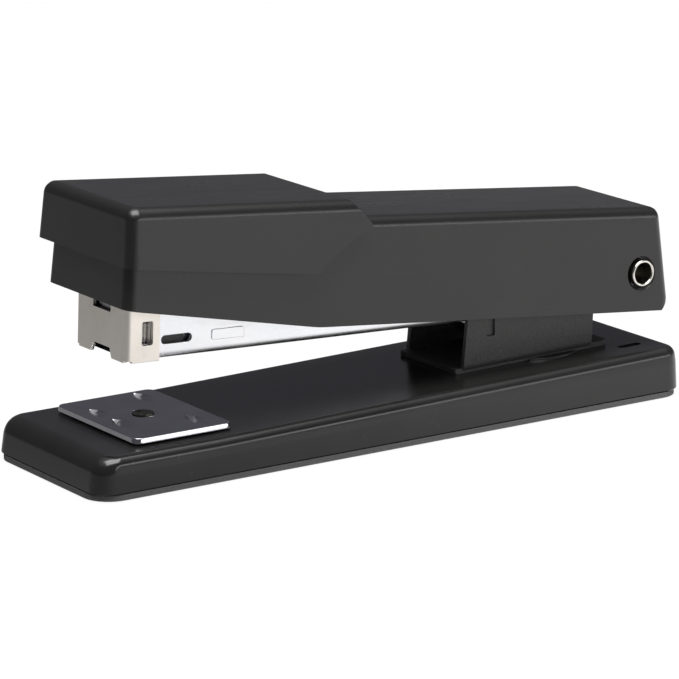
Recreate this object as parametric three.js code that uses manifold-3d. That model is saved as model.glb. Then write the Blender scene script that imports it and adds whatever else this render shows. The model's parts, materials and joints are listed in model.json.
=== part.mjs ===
// A desk stapler: a pressed-steel base with a hinge bracket, a magazine for 24/6 staples,
// and a moulded handle cover over a steel frame that carries the driver blade.
// Millimetres. +X runs from the nose to the hinge, +Z is up, and the pad rests on z = 0.
import * as THREE from 'three';
import { mergeVertices } from 'three/addons/utils/BufferGeometryUtils.js';
import Module from 'manifold-3d';

const wasm = await Module();
wasm.setup();

// ---- Driving dimensions -------------------------------------------------------------

const HINGE = { x: 55.06, z: 22.73 }; // the axis that the magazine and the handle share
const HANDLE_TILT = 5.71; // degrees nose up at rest
const MAGAZINE_TILT = 2.46;

const SMOOTH = Math.PI / 10; // the most that one side of a round stretch turns
const EDGE_STEPS = 3; // sides across a rounded edge
const WIRE_SIDES = 5;

const BASE = {
  length: 123.8, width: 35.9, corner: 3.8,
  bottom: 1.0, frontTop: 7.3, rearTop: 8.9, kink: -38.0,
  wallHeight: 7.0, frontDraft: 0.8, draft: 0.7, frontEdge: 3.0, edge: 1.5, wall: 1.0,
};
const PAD = { length: 123.8, width: 35.9, corner: 4.9, thickness: 1.0, fingerHole: 5.6 };
const BOSS = { x: 38.3, radius: 10.4, height: 0.4 };
const SLOT = { from: 51.6, to: 56.6, y: 11.2, width: 1.6 };

const ANVIL = {
  front: -52.15, rear: -32.7, halfWidth: 13.5, corner: 1.4,
  bottom: 7.65, top: 8.6, pin: -42.5,
  closed: { x: -48.7, y: 3.85 }, // pockets that bend the legs inwards
  open: { x: -37.0, y: 8.6 }, // pockets that spread the legs for pinning
  pocket: { halfLength: 3.7, halfWidth: 1.45, depth: 0.62 },
};
const PIN = { shank: 1.45, head: 1.95, headTop: 8.82, bottom: 2.1 };
const BUTTON = { radius: 4.2, bottom: 1.5, top: 2.7 };

const BRACKET = {
  halfWidth: 8.9, sheet: 0.9, gap: 0.04, bend: 1.5,
  front: 18.4, floorFront: 17.1, rear: 47.1, tail: 51.4, ear: 4.2,
};
const BRACKET_WINDOW = { from: 23.6, to: 25.4, bottom: 14.4, top: 20.4 };
const BRACKET_RIVET = {
  x: { front: 33.6, rear: 43.6 }, hole: 1.7, shank: 1.6,
  lower: { radius: 2.5, bottom: 6.7, top: 7.4 }, upper: { radius: 2.7, bottom: 10.4, top: 11.2 },
};
const LIFT_SPRING = { rear: 46.8, foot: 10.3, rise: 30.5, front: 21.6, tip: 16.9, halfWidth: 5.4 };
const PIVOT = { radius: 2.2, bore: 1.85, collar: 2.45, hole: 2.32, halfLength: 13.95 };

// From here to STAPLES the x and z are measured from the hinge axis, in the magazine's frame.
const CHANNEL = {
  front: -104.5, rear: -8.0, bottom: -7.04, top: 3.2, halfWidth: 7.5, sheet: 0.8,
  bend: 1.3, ear: 4.0,
};
const CHANNEL_SLOT = { from: -98.2, to: -92.15, bottom: -4.54, top: -3.03 };
const CHANNEL_BADGE = { from: -88.2, to: -81.9, bottom: -4.75, top: -2.9, height: 0.15 };
const NOSE = {
  front: -105.5, sheet: 0.7, wingEnd: -99.0, halfWidth: 8.4, top: 5.0, bend: 0.94,
};
const NOSE_WINDOW = { from: -102.55, to: -100.42, bottom: -4.15, top: -0.1 };
const NOSE_NOTCH = { halfWidth: 2.9, upperFrom: 0.9, lowerTo: -5.3 };
const RAIL = {
  front: -103.1, rear: -9.0, top: -1.0, bottom: -5.9, halfWidth: 5.75, sheet: 0.8, ear: 3.6,
};
const ROD = { z: -3.85, radius: 0.8 };
const FOLLOWER = { length: 6, top: 2.4, halfWidth: 6.4, collar: 1.85 };
const STAPLES = {
  count: 8, pitch: 0.516, front: -103.5, top: -0.3, legs: -6.0, halfWidth: 6.45, wire: 0.5,
};

// The rest is measured from the hinge axis too, in the handle's frame.
const FRAME = { front: -104.5, top: 9.4, sheet: 0.9, halfWidth: 10.2, flange: 4.2, ear: 4.0 };
const BLADE = { front: -104.4, sheet: 0.5, tip: -5.9, top: 8.2, halfWidth: 6.2, tab: -95.5 };
const BLADE_RIVET = {
  x: -99.5, y: 3.2, hole: 1.0, shank: 0.9,
  lower: { radius: 1.6, bottom: 6.9, top: 7.5 }, upper: { radius: 1.6, bottom: 9.5, top: 10.1 },
};
const HANDLE_SPRING = { rear: -38, foot: 8.2, bend: -50, heel: -66, toe: -69.5, halfWidth: 7.2 };
const SPRING_RIVET = {
  x: -45, hole: 1.2, shank: 1.1,
  lower: { radius: 2.2, bottom: 7.0, top: 7.6 }, upper: { radius: 2.0, bottom: 9.5, top: 9.9 },
};
const COVER = {
  wall: 1.4, edge: 2.0, corner: 2.1, bottom: -7.1, top: 11.7, front: -108.65, frontBottom: -2.8,
  belly: -70.0, rearTop: 3.8, rearBottom: 7.2, rearStep: -4.89,
  halfWidthTop: 12.68, sideDraft: 0.05, hole: 2.9,
};
const CAP = {
  front: -110.0, lean: 0.2, rear: -66.0, step: 4.72, frontTop: 14.6, rearTop: 15.0,
  edge: 2.0, corner: 2.1, halfWidth: 15.48, sideDraft: 0.085,
};
const RIB = { places: [-94, -84, -74], thickness: 1.2, halfWidth: 10.5, top: 14 };
const CLIP = { from: -58, to: -52, bottom: 1.8, top: 7, post: 12.4, hook: 9.5 };

const THROUGH = 20; // reaches past the sides of every piece

// ---- Finishes -----------------------------------------------------------------------

const finish = (color, roughness, metalness) =>
  new THREE.MeshStandardMaterial({ color, roughness, metalness });

const GLOSS_PAINT = finish(0x1c1c1d, 0.22, 0.1);
const TEXTURED_PAINT = finish(0x3a3a39, 0.7, 0.1);
const COVER_PLASTIC = finish(0x3b3a39, 0.5, 0.0);
const PAD_RUBBER = finish(0x5f5f60, 0.8, 0.0);
const FOLLOWER_PLASTIC = finish(0x2a2a2b, 0.55, 0.0);
const CHROME = finish(0xc9cacd, 0.1, 1.0);
const NICKEL = finish(0xb9b2a8, 0.28, 1.0);
const ZINC = finish(0xdcdee2, 0.3, 1.0);
const SPRING_STEEL = finish(0x8c8d90, 0.3, 1.0);
const DARK_STEEL = finish(0x4a483f, 0.4, 1.0);

// ---- Helpers ------------------------------------------------------------------------

// A closed geometry as a solid that can be cut and joined.
function solid(geometry) {
  const bare = geometry.clone();
  bare.deleteAttribute('normal');
  bare.deleteAttribute('uv');
  const welded = mergeVertices(bare, 1e-4);
  const triVerts = [];
  const index = welded.index.array;
  for (let i = 0; i < index.length; i += 3) {
    const [a, b, c] = index.slice(i, i + 3);
    if (a !== b && b !== c && c !== a) triVerts.push(a, b, c);
  }
  const vertProperties = new Float32Array(welded.attributes.position.array);
  return new wasm.Manifold(
    new wasm.Mesh({ numProp: 3, vertProperties, triVerts: new Uint32Array(triVerts) }),
  );
}

function geometryOf(body) {
  const mesh = body.getMesh();
  const geometry = new THREE.BufferGeometry();
  geometry.setAttribute('position', new THREE.BufferAttribute(mesh.vertProperties, 3));
  geometry.setIndex(new THREE.BufferAttribute(mesh.triVerts, 1));
  geometry.computeVertexNormals();
  return geometry;
}

const join = (...bodies) => bodies.reduce((whole, body) => whole.add(body));
const cut = (body, ...tools) => tools.reduce((rest, tool) => rest.subtract(tool), body);
const bothSides = (make) => [make(-1), make(1)];

// The two distances on that side of the middle, lowest first.
const between = (side, near, far) => [side * near, side * far].sort((a, b) => a - b);

// Points along an arc, with a side for every SMOOTH radians of turn.
function arcPoints(centre, radius, from, sweep) {
  const sides = Math.ceil(Math.abs(sweep) / SMOOTH);
  return Array.from({ length: sides + 1 }, (_, i) => {
    const angle = from + (sweep * i) / sides;
    return new THREE.Vector2(Math.cos(angle), Math.sin(angle)).multiplyScalar(radius).add(centre);
  });
}

// A closed outline from corners [x, y, radius]; a radius rounds that corner with an arc.
function outline(corners) {
  const at = (i) => new THREE.Vector2(...corners[(i + corners.length) % corners.length]);
  return new THREE.Shape(corners.flatMap(([x, y, radius = 0], i) => {
    const corner = new THREE.Vector2(x, y);
    if (radius === 0) return [corner];
    const before = at(i - 1).sub(corner).normalize();
    const after = at(i + 1).sub(corner).normalize();
    const half = Math.acos(before.dot(after)) / 2;
    const centre = before.clone().add(after).setLength(radius / Math.sin(half)).add(corner);
    const start = before.multiplyScalar(radius / Math.tan(half)).add(corner).sub(centre);
    const end = after.multiplyScalar(radius / Math.tan(half)).add(corner).sub(centre);
    const sweep = Math.sign(start.cross(end)) * (Math.PI - 2 * half);
    return arcPoints(centre, radius, start.angle(), sweep);
  }));
}

const rectangle = (x0, x1, y0, y1, radius = 0) =>
  outline([[x0, y0, radius], [x1, y0, radius], [x1, y1, radius], [x0, y1, radius]]);

const circle = (x, y, radius) =>
  new THREE.Shape(arcPoints(new THREE.Vector2(x, y), radius, 0, 2 * Math.PI).slice(1));

// How an outline drawn in two axes is turned so that it is pushed along the third.
const X = new THREE.Vector3(1, 0, 0);
const Y = new THREE.Vector3(0, 1, 0);
const Z = new THREE.Vector3(0, 0, 1);
const TURN = {
  x: new THREE.Matrix4().makeBasis(Y, Z, X), // an outline in (y, z)
  y: new THREE.Matrix4().makeBasis(X, Z, Y.clone().negate()), // an outline in (x, z)
  z: new THREE.Matrix4(), // an outline in (x, y)
};

function pushed(shape, axis, from, to) {
  const geometry = new THREE.ExtrudeGeometry(shape, { depth: to - from, bevelEnabled: false });
  geometry.translate(0, 0, axis === 'y' ? -to : from);
  geometry.applyMatrix4(TURN[axis]);
  return solid(geometry);
}

const block = (x0, x1, y0, y1, z0, z1) => pushed(rectangle(x0, x1, y0, y1), 'z', z0, z1);
const bar = (axis, a, b, radius, from, to) => pushed(circle(a, b, radius), axis, from, to);
const upright = (x, y, radius) => bar('z', x, y, radius, 5, THROUGH);
const crosswise = (x, z, radius) => bar('y', x, z, radius, -THROUGH, THROUGH);
const sideWindow = ({ from, to, bottom, top }, radius) =>
  pushed(rectangle(from, to, bottom, top, radius), 'y', -THROUGH, THROUGH);

// An upright rivet: a shank with a head at each end.
function rivet(x, y, { shank, lower, upper }) {
  const head = ({ radius, bottom, top }) => bar('z', x, y, radius, bottom, top);
  return join(bar('z', x, y, shank, lower.bottom + 0.3, upper.top - 0.3), head(lower), head(upper));
}

// An outline in (x, z) as wide as halfWidth at z = level and narrower by draft for each
// millimetre above it, with rounded edges along both sides.
function draftedBlock(shape, halfWidth, level, draft, edge) {
  const geometry = new THREE.ExtrudeGeometry(shape, {
    depth: 2 * (halfWidth - edge), bevelThickness: edge, bevelSize: edge, bevelOffset: -edge,
    bevelSegments: EDGE_STEPS,
  });
  geometry.translate(0, 0, edge - halfWidth);
  geometry.applyMatrix4(TURN.y);
  const position = geometry.attributes.position;
  for (let i = 0; i < position.count; i += 1) {
    const width = halfWidth - draft * (position.getZ(i) - level);
    position.setY(i, (position.getY(i) * width) / halfWidth);
  }
  return solid(geometry);
}

// A round wire bent along a path of points.
function wire(points, radius, steps) {
  const path = new THREE.CatmullRomCurve3(points);
  const corners = Array.from({ length: WIRE_SIDES }, (_, i) => (2 * Math.PI * i) / WIRE_SIDES);
  const section = new THREE.Shape(corners.map(
    (angle) => new THREE.Vector2(radius * Math.cos(angle), radius * Math.sin(angle)),
  ));
  return solid(new THREE.ExtrudeGeometry(section, {
    extrudePath: path, steps, bevelEnabled: false,
  }));
}

// A coil spring round the z axis from z = 0 to z = length.
function coil(radius, wireRadius, turns, length) {
  const stepsPerTurn = 7;
  const steps = turns * stepsPerTurn;
  const points = [];
  for (let i = 0; i <= steps; i += 1) {
    const angle = (2 * Math.PI * i) / stepsPerTurn;
    const z = wireRadius + ((length - 2 * wireRadius) * i) / steps;
    points.push(new THREE.Vector3(radius * Math.cos(angle), radius * Math.sin(angle), z));
  }
  return wire(points, wireRadius, steps);
}

// A sheet bent along an open line of corners [x, z, radius], as a leaf spring or a tab is.
function leaf(line, thickness, halfWidth) {
  const under = line.map(([x, z, radius]) => [x, z - thickness, radius]).reverse();
  return pushed(outline([...line, ...under]), 'y', -halfWidth, halfWidth);
}

// A sheet-steel channel along x: an open U section in (y, z), or an upside-down one.
function channel(halfWidth, sheet, bend, floor, rim, from, to) {
  const up = Math.sign(rim - floor);
  const inside = halfWidth - sheet;
  const level = floor + up * sheet;
  const inner = Math.max(bend - sheet, 0.2);
  return pushed(outline([
    [-halfWidth, rim], [-halfWidth, floor, bend], [halfWidth, floor, bend], [halfWidth, rim],
    [inside, rim], [inside, level, inner], [-inside, level, inner], [-inside, rim],
  ]), 'x', from, to);
}

// The side view of a channel that ends in a round ear about the hinge axis, from corners in
// (x, z); the channel is cut to it by intersection.
const eared = (corners, ear, x = 0, z = 0) =>
  join(pushed(outline(corners), 'y', -THROUGH, THROUGH), crosswise(x, z, ear));

function ellipsoid(x, y, z, rx, ry, rz) {
  const geometry = new THREE.SphereGeometry(1, 14, 8);
  geometry.scale(rx, ry, rz);
  geometry.translate(x, y, z);
  return solid(geometry);
}

// ---- The object's frames: the root, and one tilted group for each tilted body ---------

const stapler = new THREE.Group();

function tiltedGroup(degrees) {
  const group = new THREE.Group();
  group.position.set(HINGE.x, 0, HINGE.z);
  group.rotation.y = THREE.MathUtils.degToRad(degrees);
  stapler.add(group);
  return group;
}

const magazine = tiltedGroup(MAGAZINE_TILT);
const handle = tiltedGroup(HANDLE_TILT);

function piece(group, name, body, material) {
  const mesh = new THREE.Mesh(geometryOf(body), material);
  mesh.name = name;
  group.add(mesh);
}

// ---- Base ---------------------------------------------------------------------------

// Height of the base's top face: level at the front, then rising to the hinge end.
function baseTop(x) {
  const rise = (x - BASE.kink) / (BASE.length / 2 - BASE.kink);
  return BASE.frontTop + Math.max(rise, 0) * (BASE.rearTop - BASE.frontTop);
}

// Half of the base's plan, from its front end to its rear end, with a point at the kink. It is
// moved in by frontInset at the front end and by inset at the sides and the rear.
function halfPlan(frontInset, inset) {
  const quarter = -Math.PI / 2;
  const corner = Math.max(BASE.corner - inset, 0.5);
  const halfWidth = BASE.width / 2 - inset;
  const centre = new THREE.Vector2(frontInset + corner - BASE.length / 2, halfWidth - corner);
  const front = arcPoints(centre, corner, Math.PI, quarter);
  const rear = arcPoints(centre.setX(BASE.length / 2 - inset - corner), corner, Math.PI / 2, quarter);
  return [...front, new THREE.Vector2(BASE.kink, halfWidth), ...rear];
}

// A closed body from a stack of plans, lowest first. Each layer is {inset, front, height}: the
// insets of its plan, and its height as a function of x.
function stackedPlans(layers) {
  const rings = layers.map(({ inset, front, height }) => {
    const half = halfPlan(front, inset);
    const mirrored = half.map(({ x, y }) => ({ x, y: -y })).reverse();
    return [...half, ...mirrored].map(({ x, y }) => [x, y, height(x)]);
  });
  const count = rings[0].length;
  const index = [];
  for (let ring = 0; ring + 1 < rings.length; ring += 1) {
    for (let i = 0; i < count; i += 1) {
      const a = ring * count + i;
      const b = ring * count + ((i + 1) % count);
      index.push(a, a + count, b, b, a + count, b + count);
    }
  }
  const last = (rings.length - 1) * count;
  for (let i = 0; i + 1 < count / 2; i += 1) {
    const across = count - 1 - i;
    index.push(i, i + 1, across, i + 1, across - 1, across);
    index.push(last + i, last + across, last + i + 1, last + i + 1, last + across, last + across - 1);
  }
  const geometry = new THREE.BufferGeometry();
  geometry.setAttribute('position', new THREE.BufferAttribute(new Float32Array(rings.flat(2)), 3));
  geometry.setIndex(index);
  return solid(geometry);
}

// How far a rounded edge has turned in, at that depth below the top.
function rounding(radius, depth) {
  const rise = Math.max(radius - depth, 0);
  return radius - Math.sqrt(radius * radius - rise * rise);
}

// The pan's walls lean in to a rounded top edge, which is rounder at the front. The inside is the
// same shape, smaller by wall all round and open at the bottom.
function panLayers(wall) {
  const { bottom, wallHeight, draft, frontDraft, edge, frontEdge } = BASE;
  const layers = [{ inset: wall, front: wall, height: () => bottom - wall }];
  const sides = 2 * EDGE_STEPS;
  for (let i = 0; i <= sides; i += 1) {
    const depth = frontEdge * (1 - Math.sin((Math.PI / 2) * (i / sides)));
    const share = 1 - depth / wallHeight;
    layers.push({
      inset: wall + draft * share + rounding(edge, depth),
      front: wall + frontDraft * share + rounding(frontEdge, depth),
      height: (x) => baseTop(x) - wall - depth,
    });
  }
  return layers;
}

// Lifts a body drawn level onto the rising top of the base.
const ontoBase = (body) => body.warp((point) => { point[2] += baseTop(point[0]); });

const bracketRivetHoles = () =>
  Object.values(BRACKET_RIVET.x).map((x) => upright(x, 0, BRACKET_RIVET.hole));

function basePlate() {
  const outer = stackedPlans(panLayers(0));
  const inner = stackedPlans(panLayers(BASE.wall));
  const seatHalf = BRACKET.halfWidth + 0.15;
  const disc = bar('z', BOSS.x, 0, BOSS.radius, -0.5, BOSS.height);
  const boss = ontoBase(cut(disc, block(16, 53, -seatHalf, seatHalf, -1, 1)));
  const slots = bothSides((side) => pushed(rectangle(
    SLOT.from, SLOT.to, side * SLOT.y - SLOT.width / 2, side * SLOT.y + SLOT.width / 2, 0.79,
  ), 'z', 5, 12));
  const pinHole = upright(ANVIL.pin, 0, PIN.shank + 0.12);
  return cut(join(outer, boss), inner, ...slots, ...bracketRivetHoles(), pinHole);
}

function basePad() {
  const x = PAD.length / 2;
  const y = PAD.width / 2;
  const mat = pushed(rectangle(-x, x, -y, y, PAD.corner), 'z', 0, PAD.thickness);
  return cut(mat, bar('z', ANVIL.pin, 0, PAD.fingerHole, -1, 2));
}

// ---- Anvil --------------------------------------------------------------------------

function anvilPlate() {
  const { front, rear, halfWidth, corner, bottom, top, pocket } = ANVIL;
  const plate = pushed(rectangle(front, rear, -halfWidth, halfWidth, corner), 'z', bottom, top);
  const pockets = [ANVIL.closed, ANVIL.open].flatMap(({ x, y }) => bothSides((side) =>
    ellipsoid(x, side * y, top, pocket.halfWidth, pocket.halfLength, pocket.depth)));
  return cut(plate, ...pockets, upright(ANVIL.pin, 0, PIN.shank + 0.1));
}

function anvilPin() {
  const shank = bar('z', ANVIL.pin, 0, PIN.shank, PIN.bottom, ANVIL.top + 0.1);
  const head = bar('z', ANVIL.pin, 0, PIN.head, ANVIL.top + 0.04, PIN.headTop);
  return join(shank, head);
}

function anvilButton() {
  const disc = bar('z', ANVIL.pin, 0, BUTTON.radius, BUTTON.bottom, BUTTON.top);
  return cut(disc, bar('z', ANVIL.pin, 0, PIN.shank + 0.1, PIN.bottom - 0.1, BUTTON.top + 1));
}

function anvilSpring() {
  const from = BUTTON.top + 0.1;
  const length = BASE.frontTop - BASE.wall - 0.1 - from;
  return coil(2.9, 0.3, 3, length).translate([ANVIL.pin, 0, from]);
}

// ---- Hinge bracket ------------------------------------------------------------------

function hingeBracket() {
  const { halfWidth, sheet, gap, bend, front, floorFront, rear, tail, ear } = BRACKET;
  const side = eared([
    [front, BASE.frontTop], [front + 1.7, 23.6, 2], [HINGE.x - 3, HINGE.z + ear, 3],
    [HINGE.x, HINGE.z + ear], [HINGE.x, HINGE.z - ear], [rear + 0.6, HINGE.z - ear, 1.2],
    [rear, BASE.frontTop],
  ], ear, HINGE.x, HINGE.z);
  const walls = ontoBase(channel(halfWidth, sheet, bend, gap, 22, 10, 62)).intersect(side);
  const floorHalf = halfWidth - 0.4;
  const chamfer = 0.9;
  const floor = ontoBase(pushed(outline([
    [floorFront, -floorHalf], [tail - chamfer, -floorHalf], [tail, chamfer - floorHalf],
    [tail, floorHalf - chamfer], [tail - chamfer, floorHalf], [floorFront, floorHalf],
  ]), 'z', gap, gap + sheet));
  const hingeHole = crosswise(HINGE.x, HINGE.z, PIVOT.hole);
  const deep = halfWidth - sheet / 2;
  const recess = cut(sideWindow(BRACKET_WINDOW, 0.2), block(16, 53, -deep, deep, 10, 30));
  return cut(join(walls, floor), ...bracketRivetHoles(), hingeHole, recess);
}

// The leaf that lifts the magazine off the anvil after each staple.
function liftSpring() {
  const { rear, foot, rise, front, tip, halfWidth } = LIFT_SPRING;
  const sheet = leaf([[rear, foot, 0], [rise, foot, 4], [front, tip, 0]], 0.5, halfWidth);
  return cut(sheet, ...bracketRivetHoles());
}

// A hollow rivet through the cover, frame, bracket, channel and rail.
function pivotRivet() {
  const shank = bar('y', HINGE.x, HINGE.z, PIVOT.radius, -PIVOT.halfLength, PIVOT.halfLength);
  const collars = bothSides((side) => {
    const ends = between(side, FRAME.halfWidth + 0.2, PIVOT.halfLength);
    return bar('y', HINGE.x, HINGE.z, PIVOT.collar, ...ends);
  });
  return cut(join(shank, ...collars), crosswise(HINGE.x, HINGE.z, PIVOT.bore));
}

// ---- Magazine -----------------------------------------------------------------------

function magazineChannel() {
  const { front, rear, bottom, top, halfWidth, sheet, bend, ear } = CHANNEL;
  const side = eared([
    [front, bottom - 1], [front, top], [-14, top, 4], [-3, ear, 2], [0, ear], [0, -ear],
    [-5, -ear, 1], [rear, bottom - 1],
  ], ear);
  const walls = channel(halfWidth, sheet, bend, bottom, 8, front, 8).intersect(side);
  const exit = block(front - 1, front + 1.2, -6.5, 6.5, bottom - 1, bottom + sheet + 0.5);
  const noseWindows = sideWindow(NOSE_WINDOW, 0.35);
  const badges = bothSides((hand) => {
    const { from, to, bottom: low, top: high, height } = CHANNEL_BADGE;
    const faces = between(hand, halfWidth - 0.4, halfWidth + height);
    return pushed(rectangle(from, to, low, high, 0.2), 'y', ...faces);
  });
  return cut(
    join(walls, ...badges), exit, noseWindows, sideWindow(CHANNEL_SLOT, 0.74),
    crosswise(0, 0, PIVOT.hole),
  );
}

function nosePlate() {
  const { front, sheet, wingEnd, halfWidth, top, bend } = NOSE;
  const bottom = CHANNEL.bottom;
  const inside = halfWidth - sheet;
  const plan = outline([
    [front, -halfWidth, bend], [wingEnd, -halfWidth], [wingEnd, -inside],
    [front + sheet, -inside, 0.25], [front + sheet, inside, 0.25],
    [wingEnd, inside], [wingEnd, halfWidth], [front, halfWidth, bend],
  ]);
  const shell = pushed(plan, 'z', bottom, top);
  const { halfWidth: notch, upperFrom, lowerTo } = NOSE_NOTCH;
  const topNotch = block(front - 1, front + 2, -notch, notch, upperFrom, top + 1);
  const bottomNotch = block(front - 1, front + 2, -notch, notch, bottom - 1, lowerTo);
  return cut(shell, topNotch, bottomNotch, sideWindow(NOSE_WINDOW, 0.35));
}

// The inner rail that the staples straddle. Its ends are bent down to hold the guide rod.
function stapleRail() {
  const { front, rear, top, bottom, halfWidth, sheet, ear } = RAIL;
  const side = eared([
    [front, bottom], [front, top], [-6, top, 2], [-3, ear, 1], [0, ear], [0, -ear],
    [-4, -ear, 1], [-6, bottom],
  ], ear);
  const walls = channel(halfWidth, sheet, 1.0, top, bottom, front, rear);
  const inside = halfWidth - sheet + 0.1;
  const frontEnd = block(front, front + sheet, -inside, inside, bottom, top - 0.1);
  const rearEnd = block(rear - sheet, rear, -inside, inside, bottom, top - 0.1);
  const arms = bothSides((hand) => {
    const faces = between(hand, halfWidth - sheet, halfWidth);
    return pushed(rectangle(rear - 3, ear, -8, 8), 'y', ...faces).intersect(side);
  });
  const slit = block(front + 4, rear - 8, -1.5, 1.5, top - 2, top + 1);
  const rodHole = bar('x', 0, ROD.z, ROD.radius + 0.1, front - 1, rear + 1);
  const whole = join(walls, frontEnd, rearEnd, ...arms);
  return cut(whole, slit, rodHole, crosswise(0, 0, PIVOT.hole));
}

function guideRod() {
  return bar('x', 0, ROD.z, ROD.radius, RAIL.front + 0.1, RAIL.rear + 0.6);
}

const STRIP_REAR = STAPLES.front + STAPLES.count * STAPLES.pitch;
const FOLLOWER_FRONT = STRIP_REAR + 0.3;

function stapleStrip() {
  const { front, top, legs, halfWidth, wire: thickness } = STAPLES;
  return channel(halfWidth, thickness, 0.7, top, legs, front, STRIP_REAR);
}

// The pusher rides over the rail; a collar inside the rail runs on the guide rod.
function follower() {
  const { length, top, halfWidth, collar: collarRadius } = FOLLOWER;
  const front = FOLLOWER_FRONT;
  const rear = front + length;
  const crown = RAIL.top + 0.2;
  const over = block(front, rear, -halfWidth, halfWidth, crown, top);
  const legs = bothSides((side) => {
    const faces = between(side, RAIL.halfWidth + 0.15, halfWidth);
    return pushed(rectangle(front, rear, STAPLES.legs, crown + 0.5), 'y', ...faces);
  });
  const neck = block(front + 1, rear - 1, -1.2, 1.2, ROD.z, crown + 0.5);
  const collar = bar('x', 0, ROD.z, collarRadius, front + 1, rear - 1);
  const rodHole = bar('x', 0, ROD.z, ROD.radius + 0.12, front - 1, rear + 1);
  return cut(join(over, ...legs, neck, collar), rodHole);
}

function followerSpring() {
  const from = FOLLOWER_FRONT + FOLLOWER.length - 0.8;
  const length = RAIL.rear - RAIL.sheet - 0.2 - from;
  return coil(1.6, 0.25, 16, length).rotate([0, 90, 0]).translate([from, 0, ROD.z]);
}

// ---- Handle -------------------------------------------------------------------------

const coverHalfWidth = (z) => COVER.halfWidthTop + COVER.sideDraft * (COVER.top - z);

// The side view of the lower and rear part of the cover, moved in by inset.
function coverSide(inset, bottom) {
  const front = COVER.front + inset;
  const top = COVER.top - inset;
  const rearBottom = COVER.rearBottom - inset;
  return outline([
    [front, bottom], [front, top, COVER.corner], [COVER.rearTop - inset, top, COVER.corner],
    [rearBottom, COVER.rearStep], [rearBottom, bottom],
  ]);
}

// What lies above the cover's lower edge: a straight slope from the nose down to the belly, then
// level, then up round the hinge end.
function aboveCoverEdge() {
  const { front, frontBottom, belly, bottom, rearBottom, rearStep } = COVER;
  const slope = (bottom - frontBottom) / (belly - front);
  return pushed(outline([
    [front - 3, THROUGH], [front - 3, frontBottom - 3 * slope], [belly, bottom, THROUGH],
    [rearBottom - 1.84, bottom], [rearBottom, rearStep], [rearBottom + 5, 1.3],
    [rearBottom + 5, THROUGH],
  ]), 'y', -THROUGH, THROUGH);
}

// The raised front part of the cover: a drafted block, cut off below and behind along the lines
// that show on its sides.
function capBlock(inset, halfWidth, edge) {
  const { front, lean, rear, step, frontTop, rearTop, corner, sideDraft } = CAP;
  const slope = (rearTop - frontTop) / (rear - front);
  const beyond = 16;
  const shape = outline([
    [front + inset, step - 4], [front - lean + inset, frontTop - inset, corner],
    [rear + beyond, rearTop + slope * beyond - inset], [rear + beyond, step - 4],
  ]);
  const kept = pushed(outline([
    [front - 2, step + inset], [-72.49 - inset, 2.63 + inset], [-68.34 - inset, 6.52],
    [-61.4 - 1.5 * inset, 10.7], [-69.05 - 0.4 * inset, 18], [front - 2, 18],
  ]), 'y', -THROUGH, THROUGH);
  return draftedBlock(shape, halfWidth, step, sideDraft, edge).intersect(kept);
}

// A hook that snaps under the frame's flange.
function clip(side) {
  const { from, to, bottom, top, post, hook } = CLIP;
  const posts = between(side, FRAME.halfWidth + 0.25, post);
  const hooks = between(side, hook, FRAME.halfWidth + 0.5);
  return join(
    block(from, to, ...posts, bottom, top),
    block(from, to, ...hooks, bottom, FRAME.flange - 0.3),
  );
}

function topCover() {
  const { wall, edge, bottom } = COVER;
  const lower = draftedBlock(
    coverSide(0, bottom - 4), coverHalfWidth(0), 0, COVER.sideDraft, edge,
  ).intersect(aboveCoverEdge());
  const cap = capBlock(0, CAP.halfWidth, CAP.edge);
  const hollow = draftedBlock(
    coverSide(wall, bottom - 8), coverHalfWidth(0) - wall, 0, COVER.sideDraft, 0.4,
  );
  const capHollow = capBlock(wall + 0.3, CAP.halfWidth - wall - 1.6, 0.4);
  const ribs = RIB.places.map((x) => block(
    x, x + RIB.thickness, -RIB.halfWidth, RIB.halfWidth, FRAME.top + 0.2, RIB.top,
  ));
  const bosses = bothSides((side) =>
    bar('y', 0, 0, 4.1, ...between(side, FRAME.halfWidth + 0.25, 12.5)));
  const shell = cut(join(lower, cap), hollow, capHollow);
  return cut(join(shell, ...ribs, ...bosses, ...bothSides(clip)), crosswise(0, 0, COVER.hole));
}

const bladeRivetHoles = () =>
  bothSides((side) => upright(BLADE_RIVET.x, side * BLADE_RIVET.y, BLADE_RIVET.hole));

const springRivetHole = () => upright(SPRING_RIVET.x, 0, SPRING_RIVET.hole);

function handleFrame() {
  const { front, top, sheet, halfWidth, flange, ear } = FRAME;
  const side = eared([
    [front, flange], [front, top + 1], [1.4, top + 1], [3.2, 1.5], [0, -ear], [-7, -ear, 2],
    [-24, flange, 4],
  ], ear);
  const walls = channel(halfWidth, sheet, 1.4, top, -8, front, 8).intersect(side);
  return cut(walls, ...bladeRivetHoles(), springRivetHole(), crosswise(0, 0, PIVOT.hole));
}

function driverBlade() {
  const { front, sheet, tip, top, halfWidth, tab } = BLADE;
  const bent = pushed(outline([
    [front, tip], [front, top, 0.8], [tab, top], [tab, top - sheet], [front + sheet, top - sheet, 0.3],
    [front + sheet, tip],
  ]), 'y', -halfWidth, halfWidth);
  return cut(bent, ...bladeRivetHoles());
}

// The leaf that lifts the handle, and the driver blade with it, off the staples.
function handleSpring() {
  const { rear, foot, bend, heel, toe, halfWidth } = HANDLE_SPRING;
  const sheet = leaf(
    [[rear, foot, 0], [bend, foot, 5], [heel, 0.1, 2], [toe, 0.3, 0]], 0.4, halfWidth,
  );
  return cut(sheet, springRivetHole());
}

// ---- Assembly -----------------------------------------------------------------------

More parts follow.
